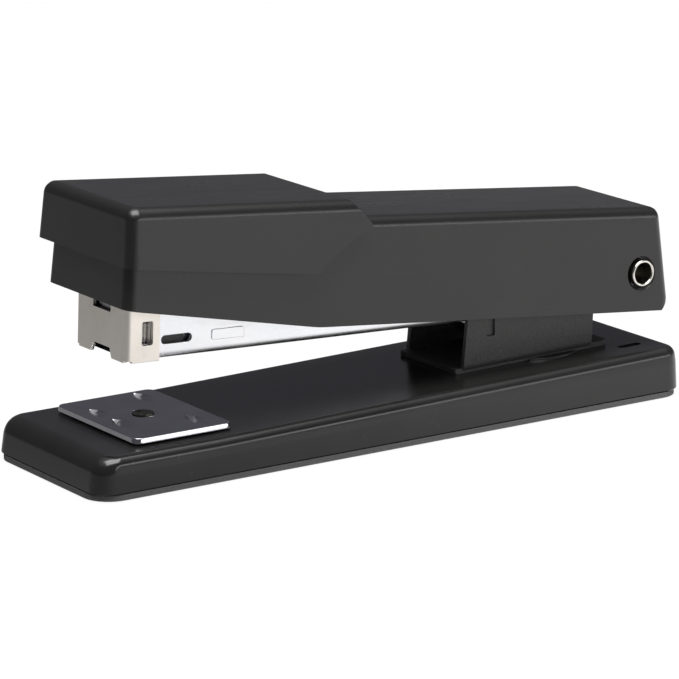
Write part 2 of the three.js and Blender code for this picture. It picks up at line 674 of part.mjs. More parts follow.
piece(stapler, 'base_plate', basePlate(), GLOSS_PAINT);
piece(stapler, 'base_pad', basePad(), PAD_RUBBER);
piece(stapler, 'anvil_plate', anvilPlate(), CHROME);
piece(stapler, 'anvil_pin', anvilPin(), DARK_STEEL);
piece(stapler, 'anvil_button', anvilButton(), SPRING_STEEL);
piece(stapler, 'anvil_spring', anvilSpring(), SPRING_STEEL);
piece(stapler, 'hinge_bracket', hingeBracket(), TEXTURED_PAINT);
piece(stapler, 'lift_spring', liftSpring(), SPRING_STEEL);
for (const [place, x] of Object.entries(BRACKET_RIVET.x)) {
  piece(stapler, `bracket_rivet_${place}`, rivet(x, 0, BRACKET_RIVET), SPRING_STEEL);
}
piece(stapler, 'pivot_rivet', pivotRivet(), NICKEL);

piece(magazine, 'magazine_channel', magazineChannel(), ZINC);
piece(magazine, 'nose_plate', nosePlate(), NICKEL);
piece(magazine, 'staple_rail', stapleRail(), ZINC);
piece(magazine, 'guide_rod', guideRod(), SPRING_STEEL);
piece(magazine, 'staple_strip', stapleStrip(), ZINC);
piece(magazine, 'follower', follower(), FOLLOWER_PLASTIC);
piece(magazine, 'follower_spring', followerSpring(), SPRING_STEEL);

piece(handle, 'top_cover', topCover(), COVER_PLASTIC);
piece(handle, 'handle_frame', handleFrame(), ZINC);
piece(handle, 'driver_blade', driverBlade(), SPRING_STEEL);
piece(handle, 'blade_rivet_left', rivet(BLADE_RIVET.x, -BLADE_RIVET.y, BLADE_RIVET), SPRING_STEEL);
piece(handle, 'blade_rivet_right', rivet(BLADE_RIVET.x, BLADE_RIVET.y, BLADE_RIVET), SPRING_STEEL);
piece(handle, 'handle_spring', handleSpring(), SPRING_STEEL);
piece(handle, 'spring_rivet', rivet(SPRING_RIVET.x, 0, SPRING_RIVET), SPRING_STEEL);

export default stapler;
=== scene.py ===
"""The looks of a desk stapler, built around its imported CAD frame.

The frame runs +X from the nose to the hinge, +Z up, with the pad resting on z = 0.
Shapes are modelled in millimetres and then placed in metres: in the root frame for the base,
and in a frame tilted about the hinge for the magazine and for the handle.
"""

import json
import math

import bmesh
import bpy
from mathutils import Matrix, Vector


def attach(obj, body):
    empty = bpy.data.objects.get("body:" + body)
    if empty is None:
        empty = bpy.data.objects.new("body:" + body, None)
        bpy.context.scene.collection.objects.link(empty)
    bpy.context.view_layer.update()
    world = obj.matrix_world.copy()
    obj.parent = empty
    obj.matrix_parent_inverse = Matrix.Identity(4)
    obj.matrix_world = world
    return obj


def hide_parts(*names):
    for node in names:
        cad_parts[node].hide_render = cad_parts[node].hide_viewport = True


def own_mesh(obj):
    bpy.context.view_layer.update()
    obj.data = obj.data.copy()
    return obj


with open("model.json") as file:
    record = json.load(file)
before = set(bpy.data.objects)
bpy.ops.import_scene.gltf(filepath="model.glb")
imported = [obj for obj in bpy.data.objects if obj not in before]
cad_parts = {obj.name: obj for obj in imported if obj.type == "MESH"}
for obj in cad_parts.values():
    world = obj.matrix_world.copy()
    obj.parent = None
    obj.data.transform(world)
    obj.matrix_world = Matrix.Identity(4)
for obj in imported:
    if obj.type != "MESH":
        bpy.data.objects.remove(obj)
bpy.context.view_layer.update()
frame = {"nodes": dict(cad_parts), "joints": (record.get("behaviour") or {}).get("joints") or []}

MM = 0.001
ARC_SIDES = 9  # sides in a quarter turn of an outline
EDGE_SIDES = 5  # sides across a rounded edge
ROUND_SIDES = 56  # sides of a turned piece
SHARP = math.radians(32)  # edges that turn by more than this stay sharp
THROUGH = 20.0  # reaches past both sides of every piece
SHEET_LEVELS = (5.0, 12.0)  # below and above the sheets that rivets go through

JOINTS = {joint["name"]: joint for joint in frame["joints"]}
HINGE = Vector(JOINTS["magazine_hinge"]["pos_m"])
SLIDE = Vector(JOINTS["follower_slide"]["axis"])
HANDLE_TILT = math.radians(5.71)
MAGAZINE_TILT = math.atan2(-SLIDE.z, SLIDE.x)


def tilted(angle):
    """Millimetres measured from the hinge axis, in a frame turned nose up by angle."""
    return Matrix.Translation(HINGE) @ Matrix.Rotation(angle, 4, "Y") @ Matrix.Scale(MM, 4)


ROOT = Matrix.Scale(MM, 4)
MAGAZINE = tilted(MAGAZINE_TILT)
HANDLE = tilted(HANDLE_TILT)
HINGE_MM = HINGE / MM


def span(node, place=ROOT):
    """Lowest and highest corners of a CAD node, in the millimetres of that place."""
    back = place.inverted()
    points = [back @ vertex.co for vertex in frame["nodes"][node].data.vertices]
    axes = list(zip(*points))
    return Vector(map(min, axes)), Vector(map(max, axes))


# ---- Solids in millimetres ----


def corner_points(before, corner, after, inset):
    """The points that one corner (x, y, radius) of an outline becomes, moved in by inset."""
    here = Vector(corner[:2])
    back = (Vector(before[:2]) - here).normalized()
    ahead = (Vector(after[:2]) - here).normalized()
    middle = back + ahead
    if middle.length < 1e-4:
        return [here + Vector((-ahead.y, ahead.x)) * inset]
    middle.normalize()
    half = back.angle(ahead) / 2
    side = -math.copysign(1, back.cross(ahead))
    here += middle * side * inset / math.sin(half)
    if corner[2] == 0:
        return [here]
    radius = max(corner[2] - side * inset, 0.02)
    centre = here + middle * radius / math.sin(half)
    start = here + back * radius / math.tan(half) - centre
    sweep = side * (math.pi - 2 * half)
    steps = max(2, round(ARC_SIDES * abs(sweep) / (math.pi / 2)))
    return [centre + Matrix.Rotation(sweep * i / steps, 2) @ start for i in range(steps + 1)]


def outline(corners, inset=0.0):
    """A closed outline from corners (x, y, radius), counter-clockwise."""
    count = len(corners)
    points = []
    for i, corner in enumerate(corners):
        points += corner_points(corners[i - 1], corner, corners[(i + 1) % count], inset)
    return points


def rectangle(x0, x1, y0, y1, radius=0.0):
    """The corners of a rectangle, for outline or prism."""
    return [(x0, y0, radius), (x1, y0, radius), (x1, y1, radius), (x0, y1, radius)]


def placed(a, b, along, axis):
    """A point of an outline, with its distance along the axis that it is pushed along."""
    if axis == "x":
        return Vector((along, a, b))
    if axis == "y":
        return Vector((a, along, b))
    return Vector((a, b, along))


def added(name, data):
    """A new object in the scene."""
    made = bpy.data.objects.new(name, data)
    bpy.context.scene.collection.objects.link(made)
    return made


def new_piece(name, bm):
    """A mesh object from a finished bmesh, with its normals outwards."""
    bmesh.ops.recalc_face_normals(bm, faces=bm.faces)
    mesh = bpy.data.meshes.new(name)
    bm.to_mesh(mesh)
    bm.free()
    return added(name, mesh)


def skinned(bm, rings):
    """Faces from each ring of vertices to the next."""
    for one, two in zip(rings, rings[1:]):
        for i in range(len(one)):
            j = (i + 1) % len(one)
            bm.faces.new((one[i], one[j], two[j], two[i]))


def lofted(rings, name="solid"):
    """A solid through rings of points, which ends in flat faces."""
    bm = bmesh.new()
    made = [[bm.verts.new(point) for point in ring] for ring in rings]
    skinned(bm, made)
    bm.faces.new(made[0])
    bm.faces.new(made[-1])
    return new_piece(name, bm)


def prism(corners, axis, low, high, edge=0.0, taper=None):
    """An outline pushed along an axis. edge rounds both ends; taper changes each point."""
    ends = [(edge, 0.0)] if edge else [(0.0, 0.0)]
    for i in range(1, EDGE_SIDES + 1):
        angle = math.pi / 2 * i / EDGE_SIDES
        if edge:
            ends.append((edge * (1 - math.sin(angle)), edge * (1 - math.cos(angle))))
    sections = [(inset, low + depth) for inset, depth in ends]
    sections += [(inset, high - depth) for inset, depth in reversed(ends)]
    rings = []
    for inset, along in sections:
        ring = [placed(a, b, along, axis) for a, b in outline(corners, inset)]
        rings.append([taper(point) for point in ring] if taper else ring)
    return lofted(rings)


def block(x0, x1, y0, y1, z0, z1):
    return prism(rectangle(x0, x1, y0, y1), "z", z0, z1)


def lathe(profile, axis, centre, closed=False):
    """A profile of (radius, height) turned about an axis through the centre."""
    bm = bmesh.new()
    rings = []
    for radius, height in profile:
        angles = [2 * math.pi * i / ROUND_SIDES for i in range(ROUND_SIDES)]
        if radius == 0:
            angles = [0.0]
        rings.append([bm.verts.new(Vector(centre) + placed(
            radius * math.cos(angle), radius * math.sin(angle), height, axis)) for angle in angles])
    pairs = list(zip(rings, rings[1:]))
    if closed:
        pairs.append((rings[-1], rings[0]))
    for one, two in pairs:
        for i in range(ROUND_SIDES):
            j = (i + 1) % ROUND_SIDES
            corners = [one[i % len(one)], one[j % len(one)], two[j % len(two)], two[i % len(two)]]
            bm.faces.new(dict.fromkeys(corners))
    return new_piece("turned", bm)


def bar(axis, centre, radius, low, high):
    return lathe([(0, low), (radius, low), (radius, high), (0, high)], axis, centre)


def upright_hole(x, radius):
    """What a round hole on the middle line takes out of a level sheet."""
    return bar("z", (x, 0, 0), radius, *SHEET_LEVELS)


def crosswise_hole(x, z, radius):
    """What a round hole along y takes out of both sides of a piece."""
    return bar("y", (x, 0, z), radius, -THROUGH, THROUGH)


def crosswise(corners):
    """What an opening of that side view takes out of both sides of a piece."""
    return prism(corners, "y", -THROUGH, THROUGH)


def rounded_profile(corners):
    """A lathe's profile from corners (radius, height, rounding), open at both ends."""
    points = [Vector(corners[0][:2])]
    for before, corner, after in zip(corners, corners[1:], corners[2:]):
        points += corner_points(before, corner, after, 0.0)
    points.append(Vector(corners[-1][:2]))
    return [tuple(point) for point in points]


def rivet(x, y, shank, heads):
    """A rivet upright at (x, y); each of its two heads is (radius, edge level, crown level)."""
    (low_radius, low_edge, low_crown), (top_radius, top_edge, top_crown) = heads
    return lathe(rounded_profile([
        (0, low_crown, 0), (low_radius, low_crown, 0.25), (low_radius, low_edge, 0),
        (shank, low_edge, 0), (shank, top_edge, 0), (top_radius, top_edge, 0),
        (top_radius, top_crown, 0.25), (0, top_crown, 0),
    ]), "z", (x, y, 0))


def evaluated(piece):
    """The piece with its modifiers applied."""
    graph = bpy.context.evaluated_depsgraph_get()
    mesh = bpy.data.meshes.new_from_object(piece.evaluated_get(graph))
    piece.modifiers.clear()
    piece.data = mesh
    return piece


def combined(piece, operation, tools):
    for tool in tools:
        modifier = piece.modifiers.new("combine", "BOOLEAN")
        modifier.operation = operation
        modifier.solver = "EXACT"
        modifier.object = tool
    evaluated(piece)
    for tool in tools:
        bpy.data.objects.remove(tool)
    return piece


def cut(piece, *tools):
    return combined(piece, "DIFFERENCE", tools)


def joined(piece, *others):
    return combined(piece, "UNION", others)


def common(piece, *others):
    return combined(piece, "INTERSECT", others)


def both_sides(make):
    return [make(-1), make(1)]


def between(side, near, far):
    """The two distances on that side of the middle, lowest first."""
    return sorted((side * near, side * far))


def eased(piece, width, sides=2):
    """Takes the sharpness off the edges of a sheet-metal or moulded piece."""
    bevel = piece.modifiers.new("ease", "BEVEL")
    bevel.limit_method = "ANGLE"
    bevel.angle_limit = SHARP
    bevel.width = width
    bevel.segments = sides
    bevel.use_clamp_overlap = True
    return evaluated(piece)


def channel(half_width, sheet, bend, floor, rim, low, high):
    """A bent sheet along x: a U section, upside down where the rim is below the floor."""
    up = math.copysign(1, rim - floor)
    inside = half_width - sheet
    level = floor + up * sheet
    inner = max(bend - sheet, 0.2)
    corners = [
        (-half_width, rim, 0), (-half_width, floor, bend), (half_width, floor, bend),
        (half_width, rim, 0), (inside, rim, 0), (inside, level, inner), (-inside, level, inner),
        (-inside, rim, 0),
    ]
    return prism(corners if up > 0 else corners[::-1], "x", low, high)


def eared(corners, ear, x=0.0, z=0.0):
    """The side view of a channel that ends in a round ear about the hinge axis."""
    side = prism(corners, "y", -THROUGH - 1, THROUGH + 1)
    return joined(side, bar("y", (x, 0, z), ear, -THROUGH, THROUGH))


def leaf(line, thickness, half_width):
    """A springy strip bent along a line of corners (x, z, radius)."""
    under = [(x, z - thickness, radius) for x, z, radius in line]
    return prism(under + line[::-1], "y", -half_width, half_width, 0.12)


def coil(start, along, radius, wire, turns, length):
    """A wire wound about a line from start; both ends close up into a flat turn."""
    along = Vector(along).normalized()
    side = along.orthogonal().normalized()
    other = along.cross(side)
    steps = turns * 20
    rings = []
    for i in range(steps + 1):
        share = i / steps
        angle = 2 * math.pi * turns * share
        out = side * math.cos(angle) + other * math.sin(angle)
        # The pitch is small over the first and last turn and even in between.
        ease = 0.5 - 0.5 * math.cos(math.pi * share)
        rise = (length - 2 * wire) * (0.35 * ease + 0.65 * share)
        centre = Vector(start) + out * radius + along * (wire + rise)
        rings.append([
            centre + (out * math.cos(t) + along * math.sin(t)) * wire
            for t in (2 * math.pi * k / 10 for k in range(10))
        ])
    return lofted(rings, name="coil")


# ---- Putting a piece into the frame ----


def finished(piece, name, place, body, nodes, slot):
    """Places a piece, shades it, gives it its slot's look, ties it to its body and hides the CAD
    nodes it stands for.
    """
    piece.name = name
    piece.data.name = name
    piece.data.transform(place)
    bm = bmesh.new()
    bm.from_mesh(piece.data)
    bmesh.ops.remove_doubles(bm, verts=bm.verts, dist=2e-6)
    bmesh.ops.dissolve_degenerate(bm, edges=bm.edges, dist=1e-6)
    bmesh.ops.recalc_face_normals(bm, faces=bm.faces)
    bm.to_mesh(piece.data)
    bm.free()
    piece.data.shade_smooth()
    piece.data.set_sharp_from_angle(angle=SHARP)
    piece.data.materials.clear()
    piece.data.materials.append(LOOKS[slot])
    weighted = piece.modifiers.new("even shading", "WEIGHTED_NORMAL")
    weighted.keep_sharp = True
    weighted.weight = 80
    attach(piece, body)
    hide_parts(*nodes)
    return piece


# ---- Materials ----


def add_node(tree, kind, inputs=(), **settings):
    """A shader node with its settings, and with its inputs linked or given their values."""
    node = tree.nodes.new(kind)
    for key, value in settings.items():
        setattr(node, key, value)
    for socket, value in dict(inputs).items():
        if isinstance(value, bpy.types.NodeSocket):
            tree.links.new(value, node.inputs[socket])
        else:
            node.inputs[socket].default_value = value
    return node


class Look:
    """A procedural material on the object's own coordinates, which are metres in the frame."""

    def __init__(self, name, **constants):
        self.material = bpy.data.materials.new(name)
        self.material.use_nodes = True
        self.tree = self.material.node_tree
        self.shader = self.tree.nodes["Principled BSDF"]
        self.place = self.add("ShaderNodeTexCoord").outputs["Object"]
        self.relief = None
        for socket, value in constants.items():
            self.shader.inputs[socket.replace("_", " ")].default_value = value

    def add(self, kind, inputs=(), **settings):
        return add_node(self.tree, kind, inputs, **settings)

    def noise(self, size, detail=2.0, stretch=(1, 1, 1), roughness=0.5):
        """Noise whose patches are about size metres across, longer where stretch is larger."""
        scale = [1 / part for part in stretch]
        mapped = self.add("ShaderNodeMapping", {"Vector": self.place, "Scale": scale})
        return self.add("ShaderNodeTexNoise", {
            "Vector": mapped.outputs["Vector"], "Scale": 1 / size, "Detail": detail,
            "Roughness": roughness,
        }).outputs["Fac"]

    def specks(self, size, share):
        """Round specks, 1 at their middles: share of the cells of that size hold one."""
        cells = self.add("ShaderNodeTexVoronoi", {"Vector": self.place, "Scale": 1 / size})
        near = self.span(cells.outputs["Distance"], (0.12, 0.30), (1, 0))
        red = self.add("ShaderNodeSeparateColor", {"Color": cells.outputs["Color"]}).outputs["Red"]
        some = self.math("LESS_THAN", red, share)
        return self.math("MULTIPLY", near, some)

    def math(self, operation, a, b):
        return self.add("ShaderNodeMath", {0: a, 1: b}, operation=operation).outputs["Value"]

    def span(self, value, given, wanted):
        """Maps the value from the given range to the wanted one, and holds it there."""
        return self.add("ShaderNodeMapRange", {
            "Value": value, "From Min": given[0], "From Max": given[1],
            "To Min": wanted[0], "To Max": wanted[1],
        }).outputs["Result"]

    def mix(self, share, one, two):
        """The first colour where share is 0, the second where it is 1."""
        node = self.add("ShaderNodeMix", data_type="RGBA")
        for index, value in ((0, share), (6, one), (7, two)):
            if isinstance(value, bpy.types.NodeSocket):
                self.tree.links.new(value, node.inputs[index])
            else:
                node.inputs[index].default_value = (*value, 1) if index else value
        return node.outputs[2]

    def edges(self, radius):
        """About 1 along outer edges and 0 on open faces."""
        soft = self.add("ShaderNodeBevel", {"Radius": radius}, samples=4)
        plain = self.add("ShaderNodeNewGeometry").outputs["Normal"]
        dot = self.add("ShaderNodeVectorMath", operation="DOT_PRODUCT")
        self.tree.links.new(soft.outputs["Normal"], dot.inputs[0])
        self.tree.links.new(plain, dot.inputs[1])
        return self.span(dot.outputs["Value"], (0.985, 0.90), (0, 1))

    def bump(self, height, depth):
        """Relief whose full height is depth metres. Later calls go on top of earlier ones."""
        inputs = {"Height": height, "Distance": depth, "Strength": 1.0}
        if self.relief:
            inputs["Normal"] = self.relief
        self.relief = self.add("ShaderNodeBump", inputs).outputs["Normal"]

    def done(self, colour, roughness):
        """Links the colour, roughness and relief to the shader, and gives the material."""
        inputs = {"Base Color": colour, "Roughness": roughness, "Normal": self.relief}
        for socket, value in inputs.items():
            self.tree.links.new(value, self.shader.inputs[socket])
        return self.material


def gloss_paint():
    look = Look("base_enamel", Specular_IOR_Level=0.5)
    cloud = look.noise(0.012, 3)
    share = look.span(cloud, (0.3, 0.7), (0, 1))
    colour = look.mix(share, (0.0085, 0.0085, 0.0080), (0.013, 0.0125, 0.012))
    colour = look.mix(look.specks(0.0011, 0.05), colour, (0.022, 0.021, 0.02))
    look.bump(look.noise(0.0016, 2), 0.0000018)
    look.bump(look.noise(0.009, 1), 0.000005)
    smear = look.noise(0.02, 4, (2.5, 1, 1))
    return look.done(colour, look.span(smear, (0.35, 0.7), (0.17, 0.27)))


def textured_paint():
    look = Look("bracket_crackle_paint", Specular_IOR_Level=0.45)
    grain = look.noise(0.00055, 4, roughness=0.65)
    share = look.span(grain, (0.35, 0.7), (0, 1))
    colour = look.mix(share, (0.028, 0.028, 0.027), (0.065, 0.065, 0.062))
    colour = look.mix(look.math("MULTIPLY", look.edges(0.00025), 0.35), colour, (0.12, 0.12, 0.115))
    look.bump(grain, 0.00009)
    look.bump(look.noise(0.0022, 2), 0.00005)
    return look.done(colour, look.span(grain, (0.3, 0.7), (0.42, 0.66)))


def cover_plastic():
    look = Look("charcoal_plastic", Specular_IOR_Level=0.5)
    cloud = look.noise(0.015, 3)
    grain = look.noise(0.00045, 3, roughness=0.6)
    share = look.span(cloud, (0.3, 0.7), (0, 1))
    colour = look.mix(share, (0.0085, 0.0081, 0.0076), (0.0112, 0.0106, 0.0100))
    colour = look.mix(look.span(grain, (0.3, 0.7), (0, 0.35)), colour, (0.0165, 0.0156, 0.0146))
    look.bump(grain, 0.000012)
    scuff = look.noise(0.006, 5, (6, 1, 1), 0.7)
    return look.done(colour, look.span(scuff, (0.3, 0.75), (0.26, 0.34)))


def rubber():
    look = Look("grey_foam_rubber", Specular_IOR_Level=0.3)
    grain = look.noise(0.0004, 4, roughness=0.7)
    share = look.span(grain, (0.3, 0.7), (0, 1))
    colour = look.mix(share, (0.075, 0.075, 0.076), (0.12, 0.12, 0.122))
    colour = look.mix(look.specks(0.0012, 0.12), colour, (0.05, 0.05, 0.05))
    look.bump(grain, 0.00006)
    return look.done(colour, look.span(grain, (0.3, 0.7), (0.75, 0.92)))


def metal(name, dark, light, rough, dirt, brush=(1, 1, 1), grain=0.0006, depth=0.0000012):
    """Bare or plated metal: cloudy colour, brushed relief, and dirt in soft patches."""
    look = Look(name, Metallic=1.0)
    cloud = look.noise(0.006, 3)
    lines = look.noise(grain, 3, brush, 0.6)
    colour = look.mix(look.span(cloud, (0.3, 0.7), (0, 1)), dark, light)
    patch = look.noise(0.0022, 5, roughness=0.7)
    spot = look.math("MULTIPLY", look.span(patch, (0.52, 0.72), (0, 1)), dirt)
    colour = look.mix(spot, colour, tuple(part * 0.35 for part in dark))
    brightened = tuple(min(1.0, part * 1.25) for part in light)
    colour = look.mix(look.math("MULTIPLY", look.edges(0.0002), 0.5), colour, brightened)
    look.bump(lines, depth)
    worn = look.math("ADD", look.math("MULTIPLY", cloud, 0.5), look.math("MULTIPLY", lines, 0.5))
    return look.done(colour, look.span(worn, (0.35, 0.65), rough))


def follower_plastic():
    look = Look("follower_nylon", Specular_IOR_Level=0.5)
    grain = look.noise(0.0005, 3)
    share = look.span(grain, (0.3, 0.7), (0, 1))
    colour = look.mix(share, (0.018, 0.018, 0.019), (0.03, 0.03, 0.031))
    colour = look.mix(look.math("MULTIPLY", look.edges(0.0003), 0.3), colour, (0.09, 0.09, 0.09))
    look.bump(grain, 0.00001)
    return look.done(colour, look.span(grain, (0.3, 0.7), (0.38, 0.55)))


# The look of each slot.
LOOKS = {
    "base_paint": gloss_paint(),
    "bracket_paint": textured_paint(),
    "cover_plastic": cover_plastic(),
    "pad_rubber": rubber(),
    "follower_plastic": follower_plastic(),
    "anvil_chrome": metal(
        "bright_chrome", (0.42, 0.42, 0.45), (0.50, 0.50, 0.53), (0.06, 0.12), 0.12),
    "nose_nickel": metal(
        "warm_nickel", (0.82, 0.77, 0.70), (0.92, 0.87, 0.80), (0.30, 0.42), 0.10,
        depth=0.000003),
    "rivet_nickel": metal(
        "rivet_nickel", (0.62, 0.60, 0.55), (0.78, 0.75, 0.69), (0.14, 0.26), 0.3,
        depth=0.000003),
    "magazine_zinc": metal(
        "bright_zinc", (0.88, 0.89, 0.91), (0.95, 0.95, 0.97), (0.26, 0.40), 0.04,
        brush=(12, 1, 1), grain=0.0004, depth=0.000002),
    "spring_steel": metal(
        "spring_steel", (0.34, 0.34, 0.35), (0.48, 0.48, 0.49), (0.22, 0.38), 0.2,
        brush=(6, 1, 1), grain=0.0005, depth=0.000002),
    "staple_wire": metal(
        "staple_wire", (0.62, 0.60, 0.56), (0.78, 0.75, 0.70), (0.2, 0.34), 0.1,
        grain=0.0003, depth=0.000002),
    "pin_steel": metal(
        "olive_steel", (0.085, 0.083, 0.065), (0.15, 0.145, 0.115), (0.26, 0.42), 0.3,
        depth=0.000004),
}
LOOKS["frame_zinc"] = LOOKS["magazine_zinc"]

# ---- Base ----

BASE_LOW, BASE_HIGH = span("base_plate")
PAD_LOW, PAD_HIGH = span("base_pad")
BRACKET_LOW, BRACKET_HIGH = span("hinge_bracket")
BASE_CORNER = 3.8
BASE_KINK = -38.0  # the top is level in front of this and rises behind it
BASE_TOPS = (7.3, BASE_HIGH.z)  # at the front, and at the hinge end
BASE_EDGE = {"side": 1.5, "front": 3.0}
BASE_DRAFT = {"side": 0.7, "front": 0.8}  # how far the walls lean in
BASE_WALL_HEIGHT = 7.0
BASE_WALL = 1.0
BASE_GROOVE = 0.25  # the sheet's lower edge turns in by this much, a little above the pad
BOSS = {"x": 38.3, "radius": 10.4, "height": 0.4}
SLOT = {"from": 51.6, "to": 56.6, "y": 11.2, "width": 1.6}
RIVETS = {name: sum(span(f"bracket_rivet_{name}"), Vector()) / 2 for name in ("front", "rear")}
RIVET_HOLE = 1.7
PAD = {"corner": 4.9, "edge": 0.04, "finger_hole": 5.6}


def base_top(x):
    """The level of the base's top at that distance along it."""
    rise = (x - BASE_KINK) / (BASE_HIGH.x - BASE_KINK)
    return BASE_TOPS[0] + max(rise, 0) * (BASE_TOPS[1] - BASE_TOPS[0])


def plan(front_inset, inset):
    """The base's plan, moved in at the front end and at the other sides, with points at the kink."""
    front = BASE_LOW.x + front_inset
    rear = BASE_HIGH.x - inset
    y = BASE_HIGH.y - inset
    radius = max(BASE_CORNER - inset, 0.4)
    return outline([
        (front, -y, radius), (BASE_KINK, -y, 0), (rear, -y, radius), (rear, y, radius),
        (BASE_KINK, y, 0), (front, y, radius),
    ])


def stacked(layers):
    """A closed body from layers of (front inset, inset, height as a function of x)."""
    bm = bmesh.new()
    rings = [
        [bm.verts.new((x, y, height(x))) for x, y in plan(front_inset, inset)]
        for front_inset, inset, height in layers
    ]
    skinned(bm, rings)
    for ring in (rings[0], rings[-1]):
        front = [vertex for vertex in ring if vertex.co.x <= BASE_KINK + 1e-4]
        rear = [vertex for vertex in ring if vertex.co.x >= BASE_KINK - 1e-4]
        for part in (front, rear):
            centre = sum((vertex.co for vertex in part), Vector()) / len(part)
            part.sort(key=lambda vertex: math.atan2(
                vertex.co.y - centre.y, vertex.co.x - centre.x))
            bm.faces.new(part)
    return new_piece("stack", bm)


def rounding(radius, depth):
    """How far a rounded edge has turned in, at that depth below the top."""
    rise = max(radius - depth, 0)
    return radius - math.sqrt(radius * radius - rise * rise)


def pan_layers(wall):
    """The pan's walls bow in to a rounded top edge, which is rounder at the front."""
    low = BASE_LOW.z - wall
    turned_in = wall + BASE_GROOVE
    layers = [(turned_in, turned_in, lambda x: low), (wall, wall, lambda x: low + BASE_GROOVE)]
    sides = 3 * EDGE_SIDES + 1
    for i in range(sides + 1):
        depth = BASE_EDGE["front"] * (1 - math.sin(math.pi / 2 * i / sides))
        share = 1 - depth / BASE_WALL_HEIGHT
        layers.append((
            wall + BASE_DRAFT["front"] * share + rounding(BASE_EDGE["front"], depth),
            wall + BASE_DRAFT["side"] * share * share + rounding(BASE_EDGE["side"], depth),
            lambda x, depth=depth: base_top(x) - wall - depth))
    return layers


def onto_base(piece):
    """Lifts a piece drawn level onto the rising top of the base."""
    for vertex in piece.data.vertices:
        vertex.co.z += base_top(vertex.co.x)
    return piece


def boss():
    """The raised disc the bracket sits in, with a filleted foot and a rounded rim."""
    radius, height = BOSS["radius"], BOSS["height"]
    sunk = -0.5
    disc = lathe(rounded_profile([
        (0, sunk, 0), (radius + 0.35, sunk, 0), (radius + 0.3, -0.1, 0),
        (radius + 0.1, 0.02, 0.1), (radius - 0.05, height, 0.18), (0, height, 0),
    ]), "z", (BOSS["x"], 0, 0))
    seat = BRACKET_HIGH.y + 0.15
    reach = radius + 5
    gap = block(BOSS["x"] - reach, BOSS["x"] + reach, -seat, seat, -1, 1)
    return onto_base(cut(disc, gap))


def rear_slot(side):
    """What a small slot behind the bracket takes out of the base's top."""
    middle, half = side * SLOT["y"], SLOT["width"] / 2
    shape = rectangle(SLOT["from"], SLOT["to"], middle - half, middle + half, half - 0.01)
    return prism(shape, "z", *SHEET_LEVELS)


def rivet_holes():
    return [upright_hole(at.x, RIVET_HOLE) for at in RIVETS.values()]


def base_plate():
    outer = stacked(pan_layers(0))
    inner = stacked(pan_layers(BASE_WALL))
    pin_hole = upright_hole(ANVIL_PIN, PIN_HOLE["base"])
    return cut(joined(outer, boss()), inner, *both_sides(rear_slot), *rivet_holes(), pin_hole)


def base_pad():
    shape = rectangle(PAD_LOW.x, PAD_HIGH.x, PAD_LOW.y, PAD_HIGH.y, PAD["corner"])
    mat = prism(shape, "z", PAD_LOW.z, PAD_HIGH.z, PAD["edge"])
    finger_hole = bar("z", (ANVIL_PIN, 0, 0), PAD["finger_hole"], PAD_LOW.z - 1, PAD_HIGH.z + 1)
    return cut(mat, finger_hole)


# ---- Anvil ----

ANVIL_LOW, ANVIL_HIGH = span("anvil_plate")
PIN_LOW, PIN_HIGH = span("anvil_pin")
ANVIL_PIN = (PIN_LOW.x + PIN_HIGH.x) / 2
PIN_HOLE = {"base": 1.57, "anvil": 1.55, "button": 1.58}
ANVIL_CORNER = 1.4
ANVIL_EDGE = 0.12
ANVIL_LEAN = 0.22  # how far its sides lean in
CLOSED = {"x": -48.7, "y": 3.85}  # pockets that bend the legs inwards
OPEN = {"x": -37.0, "y": 8.6}  # pockets that spread the legs for pinning


def pocket(x, y, half_length=3.7, half_width=1.45, depth=0.74):
    """A pressed hollow in the top of the anvil: a lens in plan, with a keel along its middle."""
    steps = 12
    bm = bmesh.new()
    rings = []
    for i in range(1, steps):
        along = -1 + 2 * i / steps
        across = half_width * (1 - along * along)
        keel = ANVIL_HIGH.z - depth * (1 - abs(along) ** 3)
        ends = [(-across, ANVIL_HIGH.z), (0, keel), (across, ANVIL_HIGH.z), (0, ANVIL_HIGH.z + 1)]
        rings.append([bm.verts.new((x + dx, y + half_length * along, z)) for dx, z in ends])
    skinned(bm, rings)
    for ring, along in ((rings[0], -1), (rings[-1], 1)):
        tip = bm.verts.new((x, y + half_length * along, ANVIL_HIGH.z + 0.02))
        for i in range(4):
            bm.faces.new((ring[i], ring[(i + 1) % 4], tip))
    return new_piece("pocket", bm)


def anvil_plate():
    """Its sides lean in a little from the bottom to the top."""
    middle = (ANVIL_LOW + ANVIL_HIGH) / 2
    half = (ANVIL_HIGH - ANVIL_LOW) / 2

    def leaning(point):
        lean = (point.z - ANVIL_LOW.z) / (ANVIL_HIGH.z - ANVIL_LOW.z) * ANVIL_LEAN
        return Vector((
            middle.x + (point.x - middle.x) * (1 - lean / half.x),
            point.y * (1 - lean / half.y), point.z))

    shape = rectangle(ANVIL_LOW.x, ANVIL_HIGH.x, ANVIL_LOW.y, ANVIL_HIGH.y, ANVIL_CORNER)
    plate = prism(shape, "z", ANVIL_LOW.z, ANVIL_HIGH.z, ANVIL_EDGE, leaning)
    pockets = []
    for place in (CLOSED, OPEN):
        pockets += both_sides(lambda side: pocket(place["x"], side * place["y"]))
    top = ANVIL_HIGH.z
    # A fine groove round the pin's head.
    ring = lathe([(2.75, top + 0.6), (2.55, top - 0.07), (2.35, top + 0.6)], "z",
                 (ANVIL_PIN, 0, 0), closed=True)
    return cut(plate, *pockets, ring, upright_hole(ANVIL_PIN, PIN_HOLE["anvil"]))


